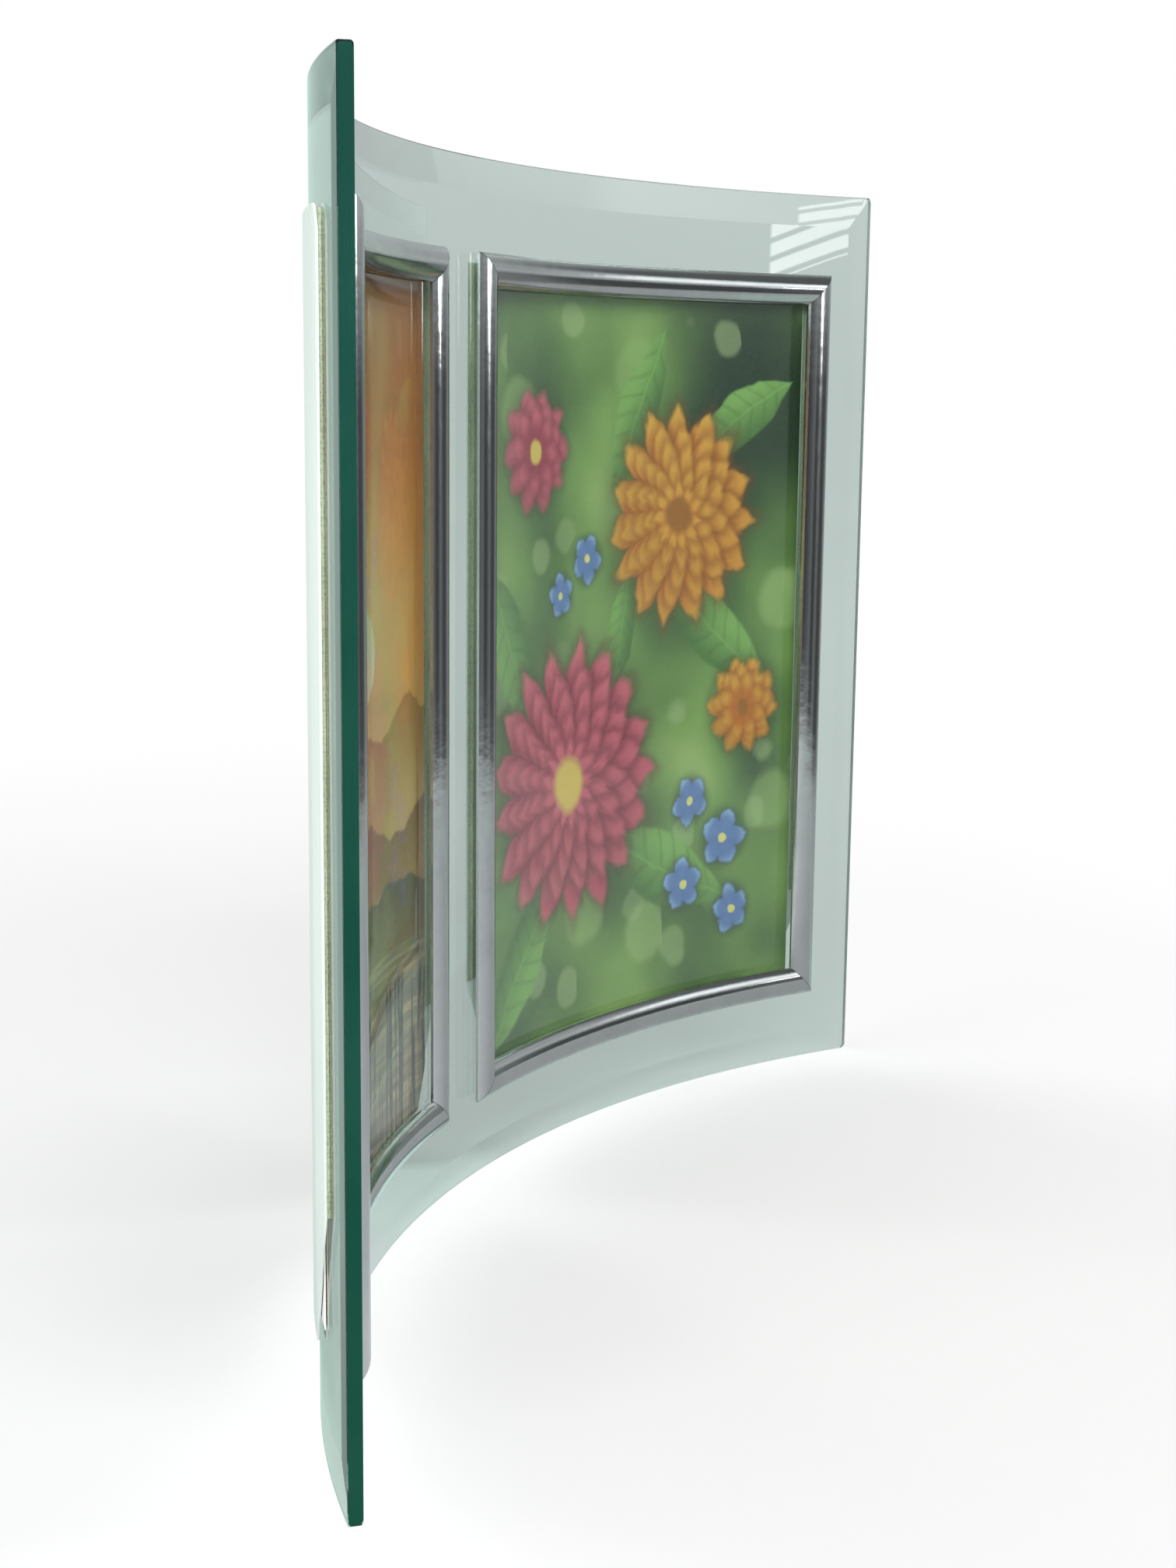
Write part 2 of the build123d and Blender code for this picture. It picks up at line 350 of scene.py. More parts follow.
class Bench:
    """Node tree of one material or world, with short calls for the nodes that the finishes use."""

    def __init__(self, name, kind="Material"):
        library = {"Material": bpy.data.materials, "World": bpy.data.worlds}[kind]
        self.owner = library.get(name) or library.new(name)
        self.owner.use_nodes = True
        self.tree = self.owner.node_tree
        self.tree.nodes.clear()
        self.output = self.add(f"ShaderNodeOutput{kind}")

    def add(self, kind, inputs=None, **options):
        """New node with its options set, and its inputs linked or set by name or number."""
        node = self.tree.nodes.new(kind)
        for option, value in options.items():
            setattr(node, option, value)
        for socket, value in (inputs or {}).items():
            self.feed(node.inputs[socket], value)
        return node

    def feed(self, socket, value):
        """Links a socket to another, or sets its value."""
        if isinstance(value, bpy.types.NodeSocket):
            self.tree.links.new(value, socket)
        elif isinstance(value, tuple) and len(value) == 3 and socket.type == "RGBA":
            socket.default_value = (*value, 1.0)
        elif value is not None:
            socket.default_value = value

    def surface(self, shader):
        """Puts a shader on the surface and gives back the material or world."""
        self.feed(self.output.inputs["Surface"], shader.outputs[0])
        return self.owner

    def principled(self, **inputs):
        """Principled shader on the surface, with its inputs set by name."""
        named = {name.replace("_", " "): value for name, value in inputs.items()}
        return self.surface(self.add("ShaderNodeBsdfPrincipled", named))

    def coordinates(self, kind="Object"):
        """Texture coordinates of one kind."""
        return self.add("ShaderNodeTexCoord").outputs[kind]

    def mapping(self, vector, scale, shift=(0.0, 0.0, 0.0)):
        """Scaled and shifted coordinates."""
        placing = {"Vector": vector, "Scale": scale, "Location": shift}
        return self.add("ShaderNodeMapping", placing).outputs[0]

    def local(self, vector, centre, size, turn=0.0):
        """Flat coordinates about a centre, turned, with the size as 1."""
        placing = {
            "Vector": vector, "Location": (*centre, 0.0),
            "Rotation": (0.0, 0.0, turn), "Scale": (*size, 1.0),
        }
        return self.add("ShaderNodeMapping", placing, vector_type="TEXTURE").outputs[0]

    def split(self, vector):
        """X, Y and Z of a vector."""
        return tuple(self.add("ShaderNodeSeparateXYZ", {0: vector}).outputs)

    def distance(self, vector):
        """Length of a vector."""
        return self.add("ShaderNodeVectorMath", {0: vector}, operation="LENGTH").outputs["Value"]

    def noise(self, vector, scale, detail=4.0, roughness=0.5, distortion=0.0):
        """Noise value from 0 to 1."""
        grain = {
            "Vector": vector, "Scale": scale, "Detail": detail,
            "Roughness": roughness, "Distortion": distortion,
        }
        return self.add("ShaderNodeTexNoise", grain).outputs["Fac"]

    def math(self, operation, *values):
        """One step of arithmetic."""
        return self.add("ShaderNodeMath", dict(enumerate(values)), operation=operation).outputs[0]

    def spread(self, value, low, high, new_low=0.0, new_high=1.0, smooth=False):
        """Moves a value from one range to another, clamped."""
        ranges = dict(enumerate((value, low, high, new_low, new_high)))
        easing = "SMOOTHSTEP" if smooth else "LINEAR"
        return self.add("ShaderNodeMapRange", ranges, interpolation_type=easing).outputs["Result"]

    def mix(self, factor, first, second):
        """Mix of two colours."""
        return self.add("ShaderNodeMix", {0: factor, 6: first, 7: second}, data_type="RGBA").outputs[2]

    def ramp(self, factor, stops):
        """Colour ramp through stops of place and colour."""
        node = self.add("ShaderNodeValToRGB", {"Fac": factor})
        elements = node.color_ramp.elements
        while len(elements) < len(stops):
            elements.new(0.5)
        for element, (place, stop_colour) in zip(elements, stops):
            element.position = place
            element.color = (*stop_colour, 1.0)
        return node.outputs["Color"]

    def bump(self, height, distance, strength=1.0):
        """Normal from a height."""
        relief = {"Height": height, "Distance": distance, "Strength": strength}
        return self.add("ShaderNodeBump", relief).outputs["Normal"]


GLASS_IOR = 1.5
GLASS_DENSITY = 40.0
BLACK = (0.0, 0.0, 0.0)


def tint_of(name, share=1.0):
    """Colour of the settings, times a share."""
    return tuple(part * share for part in getattr(settings().colours, name))


def clear_glass_finish():
    """Clear float glass: faint smears and waves on its faces and a green body."""
    bench = Bench("bent_clear_glass")
    place = bench.coordinates()
    smears = bench.noise(place, 16.0, detail=5.0, roughness=0.6, distortion=0.6)
    waves = bench.noise(place, 9.0, detail=1.0)
    tint = {"Color": tint_of("glass_body"), "Density": GLASS_DENSITY}
    body = bench.add("ShaderNodeVolumeAbsorption", tint)
    bench.feed(bench.output.inputs["Volume"], body.outputs["Volume"])
    return bench.principled(
        Base_Color=tint_of("glass_face"), IOR=GLASS_IOR, Transmission_Weight=1.0,
        Roughness=bench.spread(smears, 0.5, 0.85, 0.0, 0.02),
        Normal=bench.bump(waves, 0.0006, 0.5),
    )


def ground_edge_finish(plan):
    """Dark green ground ends of the glass with fine grinding marks, and a paler tone where seen through the
    glass: painted light let in through the ground edge.
    """
    bench = Bench("ground_glass_edge")
    place = bench.coordinates()
    rise = bench.spread(bench.split(place)[2], plan.glass_foot, plan.glass_top)
    marks = bench.noise(bench.mapping(place, (1.0, 1.0, 0.04)), 2600.0, detail=3.0)
    cloud = bench.spread(bench.noise(place, 45.0, detail=3.0), 0.35, 0.75, 0.0, 0.3)
    tone = bench.mix(rise, tint_of("ground_edge_foot"), tint_of("ground_edge_top"))
    tone = bench.mix(cloud, tone, tint_of("ground_edge_cloud"))
    # Faces seen from inside the glass take the paler tone: painted light let in through the ground edge
    seen_through = bench.add("ShaderNodeNewGeometry").outputs["Backfacing"]
    return bench.principled(
        Base_Color=bench.mix(seen_through, tone, tint_of("ground_edge_lit_inside")),
        IOR=GLASS_IOR, Specular_IOR_Level=0.12,
        Roughness=bench.spread(marks, 0.3, 0.7, 0.22, 0.4),
        Normal=bench.bump(marks, 0.00003, 0.4),
    )


def silver_finish():
    """Polished silver with a faint haze, fine rub marks and small dents."""
    bench = Bench("polished_silver")
    place = bench.coordinates()
    haze = bench.noise(place, 70.0, detail=5.0, roughness=0.65)
    rubs = bench.noise(bench.mapping(place, (1.0, 1.0, 0.15)), 900.0, detail=3.0)
    dents = bench.noise(place, 150.0, detail=3.0)
    return bench.principled(
        Base_Color=bench.mix(bench.spread(haze, 0.4, 0.75), tint_of("silver"), tint_of("silver", 0.88)),
        Metallic=1.0, Roughness=bench.spread(haze, 0.3, 0.75, 0.07, 0.16),
        Normal=bench.bump(bench.math("MULTIPLY_ADD", rubs, 0.04, dents), 0.00007),
    )


def bond_finish():
    """Thin grey double-sided strip with a mottled face."""
    bench = Bench("bond_strip")
    mottle = bench.noise(bench.coordinates(), 420.0)
    return bench.principled(
        Base_Color=bench.mix(mottle, tint_of("bond", 0.7), tint_of("bond")), Roughness=0.6,
        Normal=bench.bump(mottle, 0.00005),
    )


def foam_finish():
    """Green foam tape with open cells, darkened towards their middles as painted shade in the pores, and a
    worn, paler bloom.
    """
    bench = Bench("green_foam")
    place = bench.coordinates()
    cells = bench.add("ShaderNodeTexVoronoi", {"Vector": place, "Scale": 2200.0}, feature="SMOOTH_F1")
    pore_depth_and_shade = cells.outputs["Distance"]
    bloom = bench.spread(bench.noise(place, 60.0), 0.35, 0.7)
    tone = bench.mix(bloom, tint_of("foam"), tint_of("foam", 1.35))
    return bench.principled(
        # Cell middles are mixed towards black: painted shade in the open pores
        Base_Color=bench.mix(bench.spread(pore_depth_and_shade, 0.0, 0.5, 0.55, 1.0), BLACK, tone), Roughness=0.85,
        Normal=bench.bump(pore_depth_and_shade, 0.0002, 0.6),
    )


def panel_finish():
    """White satin sheet with faint moulding flow and rubbed patches."""
    bench = Bench("white_satin_sheet")
    place = bench.coordinates()
    flow = bench.noise(bench.mapping(place, (1.0, 1.0, 0.3)), 30.0)
    grain = bench.noise(place, 1500.0, detail=2.0)
    return bench.principled(
        Base_Color=bench.mix(bench.spread(flow, 0.35, 0.7), tint_of("panel"), tint_of("panel", 0.93)),
        Roughness=bench.spread(flow, 0.3, 0.7, 0.36, 0.52),
        Normal=bench.bump(grain, 0.00003, 0.5),
    )


def paper_finish():
    """White back and edges of photo paper."""
    bench = Bench("photo_paper_back")
    fibre = bench.noise(bench.coordinates(), 800.0, detail=5.0, roughness=0.7)
    return bench.principled(
        Base_Color=bench.mix(bench.spread(fibre, 0.35, 0.65), tint_of("paper"), tint_of("paper", 0.94)),
        Roughness=0.7, Normal=bench.bump(fibre, 0.00002, 0.5),
    )


def paper_places(bench, waver):
    """Millimetres from a print's lower left corner, wavering a little so that drawn edges look natural."""
    plan = layout()
    width = plan.sizes.print_width * MM_PER_M
    height = (plan.print_top - plan.print_foot) * MM_PER_M
    sheet = bench.mapping(bench.coordinates("UV"), (width, height, 1.0))
    drift = bench.add("ShaderNodeTexNoise", {"Vector": sheet, "Scale": 0.07, "Detail": 3.0})
    moved = {0: drift.outputs["Color"], 1: (waver, waver, 0.0), 2: sheet}
    return bench.add("ShaderNodeVectorMath", moved, operation="MULTIPLY_ADD").outputs["Vector"]


def picture_face(bench, tone):
    """Satin photo paper under a picture's colours."""
    grain = bench.noise(bench.coordinates(), 3000.0, detail=2.0)
    return bench.principled(
        Base_Color=tone, Roughness=bench.spread(grain, 0.3, 0.7, 0.26, 0.36),
        Normal=bench.bump(grain, 0.00001, 0.3),
    )


class Bloom(NamedTuple):
    """One bloom of a picture: place and radius in millimetres, petals, tints, turn in degrees and blur."""

    centre: tuple
    radius: float
    petals: int
    rings: int
    tints: tuple
    turn: float
    soft: float = 0.04
    notch: float = 0.3


class Leaf(NamedTuple):
    """One leaf of a picture: place, half length and half width in millimetres, and turn in degrees."""

    centre: tuple
    size: tuple
    turn: float


# Tints of the blooms: deep, bright and heart
ROSE = ((0.34, 0.02, 0.055), (0.93, 0.19, 0.26), (0.85, 0.55, 0.12))
AMBER = ((0.55, 0.13, 0.012), (1.0, 0.50, 0.075), (0.42, 0.14, 0.02))
SKY = ((0.12, 0.19, 0.46), (0.42, 0.58, 0.88), (0.9, 0.75, 0.25))
LEAF_TINTS = ((0.05, 0.13, 0.03), (0.27, 0.46, 0.12))
LEAF_BLUR = 0.06
GARDEN_SHADE = (0.02, 0.045, 0.018)
GARDEN_BLUR = (
    (0.28, (0.035, 0.07, 0.03)), (0.45, (0.13, 0.22, 0.06)),
    (0.6, (0.25, 0.38, 0.10)), (0.78, (0.46, 0.56, 0.2)),
)
GARDEN_LEAVES = (
    Leaf((100.0, 96.0), (24.0, 8.0), -38),
    Leaf((70.0, 152.0), (22.0, 7.5), 64),
    Leaf((16.0, 98.0), (23.0, 8.0), 118),
    Leaf((82.0, 36.0), (26.0, 9.0), -24),
    Leaf((22.0, 22.0), (24.0, 8.5), -128),
    Leaf((108.0, 150.0), (20.0, 7.0), 28),
    Leaf((64.0, 98.0), (15.0, 5.0), 78),
)
GARDEN_BLOOMS = (
    Bloom((27.0, 143.0), 14.0, 10, 3, ROSE, 20, 0.11),
    Bloom((111.0, 76.0), 12.0, 10, 3, AMBER, 50, 0.09),
    Bloom((86.0, 126.0), 27.0, 15, 5, AMBER, 8),
    Bloom((43.0, 63.0), 34.0, 17, 5, ROSE, -12),
    Bloom((92.0, 52.0), 6.5, 5, 1, SKY, 10, 0.06, 0.42),
    Bloom((105.0, 41.0), 7.5, 5, 1, SKY, 40, 0.06, 0.42),
    Bloom((90.0, 31.0), 7.0, 5, 1, SKY, -15, 0.06, 0.42),
    Bloom((108.0, 22.0), 6.5, 5, 1, SKY, 65, 0.08, 0.42),
    Bloom((50.0, 117.0), 6.0, 5, 1, SKY, 30, 0.08, 0.42),
    Bloom((39.0, 109.0), 5.0, 5, 1, SKY, -5, 0.10, 0.42),
)
PICTURE_LIGHT = radians(125)
PETAL_STEP = 0.17
PETAL_RAGGED = 0.34


def lay_bloom(bench, under, sheet, bloom):
    """Lays one bloom of ragged, overlapping petal rings, lit from the upper left, over a colour."""
    deep, bright, heart = bloom.tints
    shadow = tuple(part * 0.4 for part in deep)
    turn = radians(bloom.turn)
    light_turn = PICTURE_LIGHT - turn
    spot = bench.local(sheet, bloom.centre, (bloom.radius, bloom.radius), turn)
    across, up, _ = bench.split(spot)
    reach = bench.distance(spot)
    bearing = bench.math("ARCTAN2", up, across)
    slope = bench.math("MULTIPLY_ADD", across, cos(light_turn), bench.math("MULTIPLY", up, sin(light_turn)))
    ray = bench.add("ShaderNodeCombineXYZ", {
        "X": bench.math("DIVIDE", across, reach),
        "Y": bench.math("DIVIDE", up, reach),
        "Z": bench.math("MULTIPLY_ADD", reach, 0.5, bloom.radius),
    }).outputs[0]
    streaks = bench.noise(ray, 4.0, roughness=0.6)
    least = bench.math("SUBTRACT", reach, PETAL_RAGGED / 2)
    ragged = bench.math("MULTIPLY_ADD", streaks, PETAL_RAGGED, least)
    shine = bench.math(
        "MULTIPLY", bench.spread(streaks, 0.3, 0.7, 0.72, 1.0), bench.spread(slope, -1.0, 0.9, 0.62, 1.0)
    )
    tone = bench.mix(bench.spread(reach, 0.7, 1.35, 0.6, 0.0, smooth=True), under, GARDEN_SHADE)
    for ring in range(bloom.rings):
        tip = 1.0 - PETAL_STEP * ring
        turns = bench.math("MULTIPLY_ADD", bearing, (bloom.petals - ring) / (2 * pi), 0.5 * ring)
        fold = bench.math("PINGPONG", turns, 0.5)
        crest = bench.math("POWER", bench.math("MULTIPLY", fold, 2.0), 0.5)
        edge = bench.math("MULTIPLY_ADD", crest, tip * bloom.notch, tip * (1.0 - bloom.notch))
        inside = bench.math("SUBTRACT", edge, ragged)
        length_light = bench.spread(reach, tip - 2.2 * PETAL_STEP, tip, 0.15, 1.0, smooth=True)
        side_light = bench.spread(fold, 0.0, 0.4, 0.55, 1.0, smooth=True)
        light = bench.math("MULTIPLY", bench.math("MULTIPLY", length_light, side_light), shine)
        petal = bench.mix(light, deep, bright)
        tone = bench.mix(bench.spread(inside, -0.2, 0.02, 0.0, 0.45, smooth=True), tone, shadow)
        tone = bench.mix(bench.spread(inside, -bloom.soft, bloom.soft), tone, petal)
    return bench.mix(bench.spread(reach, 0.15, 0.22, 1.0, 0.0), tone, heart)


def lay_leaf(bench, under, sheet, leaf):
    """Lays one pointed leaf with side veins over a colour."""
    deep, bright = LEAF_TINTS
    along, across, _ = bench.split(bench.local(sheet, leaf.centre, leaf.size, radians(leaf.turn)))
    side = bench.math("ABSOLUTE", across)
    half_width = bench.math("SUBTRACT", 1.0, bench.math("MULTIPLY", along, along))
    cover = bench.spread(bench.math("SUBTRACT", half_width, side), -LEAF_BLUR, LEAF_BLUR)
    veins = bench.math("PINGPONG", bench.math("MULTIPLY_ADD", along, 4.0, side), 0.5)
    side_light = bench.spread(across, -0.8, 0.6, 0.25, 1.0)
    vein_light = bench.spread(veins, 0.0, 0.2, 0.7, 1.0)
    tone = bench.mix(bench.math("MULTIPLY", side_light, vein_light), deep, bright)
    tone = bench.mix(bench.spread(side, 0.02, 0.07, 0.6, 0.0), tone, bright)
    return bench.mix(cover, under, tone)


def lay_glints(bench, under, sheet, size, tint, share):
    """Lays soft round glints, as of light out of focus, over a colour."""
    cells = bench.add("ShaderNodeTexVoronoi", {"Vector": sheet, "Scale": 1.0 / size})
    disc = bench.spread(cells.outputs["Distance"], 0.27, 0.36, share, 0.0)
    chosen = bench.spread(bench.split(cells.outputs["Color"])[0], 0.5, 0.8)
    return bench.mix(bench.math("MULTIPLY", disc, chosen), under, tint)


def garden_picture_finish():
    """Print of rose, amber and blue blooms before a blurred green garden."""
    bench = Bench("garden_picture")
    sheet = paper_places(bench, 4.0)
    tone = bench.ramp(bench.noise(sheet, 0.024, detail=1.5), GARDEN_BLUR)
    shade = bench.distance(bench.local(sheet, (118.0, 158.0), (46.0, 52.0), radians(20)))
    tone = bench.mix(bench.spread(shade, 0.25, 1.0, 0.9, 0.0, smooth=True), tone, (0.012, 0.028, 0.016))
    tone = lay_glints(bench, tone, sheet, 26.0, (0.45, 0.58, 0.22), 0.5)
    tone = lay_glints(bench, tone, sheet, 15.0, (0.58, 0.66, 0.33), 0.35)
    for leaf in GARDEN_LEAVES:
        tone = lay_leaf(bench, tone, sheet, leaf)
    for bloom in GARDEN_BLOOMS:
        tone = lay_bloom(bench, tone, sheet, bloom)
    return picture_face(bench, tone)


class Ridge(NamedTuple):
    """One ridge of hills in a picture: heights and run in millimetres, and its tints."""

    foot: float
    rise: float
    run: float
    seed: float
    fade: float
    crest: tuple
    mist: tuple


DUSK_SKY = (
    (0.0, (1.0, 0.70, 0.27)), (0.35, (1.0, 0.40, 0.09)),
    (0.7, (0.78, 0.25, 0.055)), (1.0, (0.56, 0.19, 0.07)),
)
DUSK_LAKE = ((0.35, (0.20, 0.15, 0.09)), (0.55, (0.40, 0.30, 0.17)), (0.7, (0.72, 0.5, 0.24)))
DUSK_RIDGES = (
    Ridge(66.0, 44.0, 46.0, 3.1, 30.0, (0.55, 0.24, 0.07), (0.86, 0.50, 0.17)),
    Ridge(50.0, 40.0, 38.0, 7.7, 26.0, (0.32, 0.13, 0.045), (0.66, 0.34, 0.11)),
    Ridge(38.0, 34.0, 30.0, 12.4, 24.0, (0.13, 0.07, 0.03), (0.38, 0.20, 0.075)),
)


def lay_ridge(bench, under, sheet, ridge):
    """Lays one ridge of hills, paler with mist towards its foot, over a colour."""
    up = bench.split(sheet)[1]
    path = bench.mapping(sheet, (1.0 / ridge.run, 0.0, 0.0), shift=(ridge.seed, 0.0, 0.0))
    hills = bench.noise(path, 1.0, detail=5.0)
    depth = bench.math("SUBTRACT", bench.math("MULTIPLY_ADD", hills, ridge.rise, ridge.foot), up)
    tone = bench.mix(bench.spread(depth, 0.0, ridge.fade), ridge.crest, ridge.mist)
    return bench.mix(bench.spread(depth, -0.4, 0.4), under, tone)


def dusk_picture_finish():
    """Print of an orange dusk over misty hills, a lake and reeds."""
    bench = Bench("dusk_picture")
    sheet = paper_places(bench, 1.5)
    up = bench.split(sheet)[1]
    tone = bench.ramp(bench.spread(up, 60.0, 178.0), DUSK_SKY)
    clouds = bench.noise(bench.mapping(sheet, (0.011, 0.06, 1.0)), 1.0, detail=5.0)
    tone = bench.mix(bench.spread(clouds, 0.5, 0.72, 0.0, 0.55), tone, (0.36, 0.14, 0.06))
    sun = bench.distance(bench.local(sheet, (84.0, 104.0), (9.0, 9.0)))
    tone = bench.mix(bench.spread(sun, 1.0, 5.0, 0.55, 0.0, smooth=True), tone, (1.0, 0.72, 0.28))
    tone = bench.mix(bench.spread(sun, 0.95, 1.05, 1.0, 0.0), tone, (1.0, 0.9, 0.58))
    for ridge in DUSK_RIDGES:
        tone = lay_ridge(bench, tone, sheet, ridge)
    lake = bench.ramp(bench.noise(bench.mapping(sheet, (0.03, 0.5, 1.0)), 1.0), DUSK_LAKE)
    tone = bench.mix(bench.spread(up, 40.0, 41.0, 1.0, 0.0), tone, lake)
    blades = bench.noise(bench.mapping(sheet, (0.55, 0.02, 1.0)), 1.0, detail=2.0)
    reeds = bench.math("MULTIPLY", bench.spread(blades, 0.52, 0.56), bench.spread(up, 10.0, 46.0, 1.0, 0.0))
    tone = bench.mix(bench.spread(reeds, 0.3, 0.4), tone, (0.035, 0.03, 0.016))
    return picture_face(bench, tone)


class PHOTOFRAME_OT_glass(bpy.types.Operator):
    """Models the bent glass with its bevel, rounded corners and ground ends"""

    bl_idname = "photo_frame.glass"
    bl_label = "Bent Glass"

    def execute(self, context):
        plan = layout()
        sizes = plan.sizes
        end = plan.glass_end
        bm = flat_box(-end, end, sizes.bevel_depth, plan.glass_back, plan.glass_foot, plan.glass_top)
        hollow = min(bm.faces, key=lambda face: face.calc_center_median().y)
        bmesh.ops.inset_region(bm, faces=[hollow], thickness=sizes.bevel_width, use_even_offset=True)
        bmesh.ops.translate(bm, verts=hollow.verts, vec=(0.0, -sizes.bevel_depth, 0.0))
        corners = through_edges(bm.edges, sizes.glass_thickness)
        round_edges(bm, corners, sizes.corner_radius, segments=6)
        front_edges = edges_where(bm, lambda point: abs(point.y - sizes.bevel_depth) < MERGE_DISTANCE)
        level_edges = [
            edge for edge in front_edges
            if abs(edge.verts[0].co.z - edge.verts[1].co.z) < sizes.corner_radius
        ]
        round_edges(bm, level_edges, sizes.rim_rounding, segments=4)
        back_edges = edges_where(bm, lambda point: point.y > plan.glass_back - MERGE_DISTANCE)
        round_edges(bm, sharp_edges(back_edges, GLASS_RIM_ANGLE), sizes.arris, segments=2)
        bm.normal_update()
        for face in bm.faces:
            face.material_index = 1 if abs(face.normal.x) > FACING else 0
        cut_across(bm, -end, end, sizes.bend_step)
        bend_mesh(bm, plan)
        finishes = [clear_glass_finish(), ground_edge_finish(plan)]
        glass = add_piece(bm, "glass_panel", "frame", finishes, GLASS_SHARP_ANGLE)
        glass.visible_shadow = False
        return {"FINISHED"}


def straight_moulding(run, plan):
    """Half-round moulding along +x with its outer edge up, mitred at both ends."""
    sizes = plan.sizes
    half_width = plan.moulding_width / 2
    crown_rise = sizes.moulding_height - sizes.moulding_side
    crown_radius = (half_width ** 2 + crown_rise ** 2) / (2 * crown_rise)
    crown_angle = 2 * asin(half_width / crown_radius)
    side_depth = plan.moulding_back - sizes.moulding_side
    crown_centre = (0.0, side_depth - crown_rise + crown_radius, 0.0)
    bm = bmesh.new()
    start = bmesh.ops.create_vert(bm, co=(0.0, side_depth, -half_width))["vert"]
    bmesh.ops.spin(
        bm, geom=start, cent=crown_centre, axis=(1.0, 0.0, 0.0), angle=-crown_angle, steps=sizes.crown_steps
    )
    ends = [vert for vert in bm.verts if len(vert.link_edges) == 1]
    feet = bmesh.ops.extrude_vert_indiv(bm, verts=ends)["verts"]
    bmesh.ops.translate(bm, verts=feet, vec=(0.0, sizes.moulding_side, 0.0))
    bmesh.ops.contextual_create(bm, geom=feet)
    section = bmesh.ops.contextual_create(bm, geom=bm.edges[:])["faces"]
    swept = bmesh.ops.extrude_face_region(bm, geom=section)["geom"]
    moved = [item for item in swept if isinstance(item, bmesh.types.BMVert)]
    bmesh.ops.translate(bm, verts=moved, vec=(run, 0.0, 0.0))
    for corner, slope in ((0.0, -1.0), (run, 1.0)):
        normal = Vector((slope, 0.0, -1.0)).normalized()
        trim(bm, Vector((corner, 0.0, half_width)) - normal * sizes.mitre_seam, normal)
    return bm


class PHOTOFRAME_OT_mouldings(bpy.types.Operator):
    """Models the eight half-round silver mouldings, mitred at their corners"""

    bl_idname = "photo_frame.mouldings"
    bl_label = "Silver Mouldings"

    def execute(self, context):
        plan = layout()
        finish = silver_finish()
        half_width = plan.moulding_width / 2
        rail_run = 2 * plan.frame_half
        stile_run = plan.frame_top - plan.frame_foot
        for name, side in SIDES.items():
            low, high = plan.span(side, plan.frame_half)
            low_stile, high_stile = ("outer", "inner") if side < 0 else ("inner", "outer")
            seats = {
                "top_rail": (rail_run, (low, 0.0, plan.frame_top - half_width), 0.0),
                "bottom_rail": (rail_run, (high, 0.0, plan.frame_foot + half_width), pi),
                f"{low_stile}_stile": (stile_run, (low + half_width, 0.0, plan.frame_foot), -pi / 2),
                f"{high_stile}_stile": (stile_run, (high - half_width, 0.0, plan.frame_top), pi / 2),
            }
            for piece, (run, seat, turn) in seats.items():
                bm = straight_moulding(run, plan)
                placing = Matrix.Translation(seat) @ Matrix.Rotation(turn, 4, "Y")
                bmesh.ops.transform(bm, matrix=placing, verts=bm.verts)
                if piece.endswith("rail"):
                    cut_across(bm, low, high, plan.sizes.bend_step)
                bend_mesh(bm, plan)
                add_piece(bm, f"{name}_{piece}", "frame", [finish])
        return {"FINISHED"}


class PHOTOFRAME_OT_bonds(bpy.types.Operator):
    """Models the thin bond strips between the mouldings and the glass"""

    bl_idname = "photo_frame.bonds"
    bl_label = "Bond Strips"

    def execute(self, context):
        plan = layout()
        finish = bond_finish()
        inset = plan.sizes.bond_inset
        reach = plan.moulding_width - inset
        depths = (plan.moulding_back, plan.bond_back)
        stile_heights = (plan.sight_foot, plan.sight_top)
        for name, side in SIDES.items():
            rail = plan.span(side, plan.frame_half - inset)
            outer = on_side(side, plan.frame_outer - reach, plan.frame_outer - inset)
            inner = on_side(side, plan.frame_inner + inset, plan.frame_inner + reach)
            strips = {
                "top_rail": (rail, (plan.sight_top + inset, plan.frame_top - inset)),
                "bottom_rail": (rail, (plan.frame_foot + inset, plan.sight_foot - inset)),
                "outer_stile": (outer, stile_heights),
                "inner_stile": (inner, stile_heights),
            }
            for piece, (places, heights) in strips.items():
                node = f"{name}_{piece}_bond"
                add_strip(plan, node, finish, depths, places, heights)
        return {"FINISHED"}


class PHOTOFRAME_OT_tapes(bpy.types.Operator):
    """Models the green foam tapes round each print pocket"""

    bl_idname = "photo_frame.tapes"
    bl_label = "Foam Tapes"

    def execute(self, context):
        plan = layout()
        finish = foam_finish()
        rounding = plan.sizes.tape_rounding
        depths = (plan.glass_back, plan.panel_front)
        side_heights = (plan.tape_foot, plan.tape_top)
        for name, side in SIDES.items():
            strips = {
                "outer": (on_side(side, plan.pocket_outer, plan.frame_outer), side_heights),
                "inner": (on_side(side, plan.frame_inner, plan.pocket_inner), side_heights),
                "bottom": (plan.span(side, plan.stop_half), (plan.panel_foot, plan.print_foot)),
            }
            for piece, (places, heights) in strips.items():
                node = f"{name}_{piece}_tape"
                add_strip(plan, node, finish, depths, places, heights, rounding)
        return {"FINISHED"}


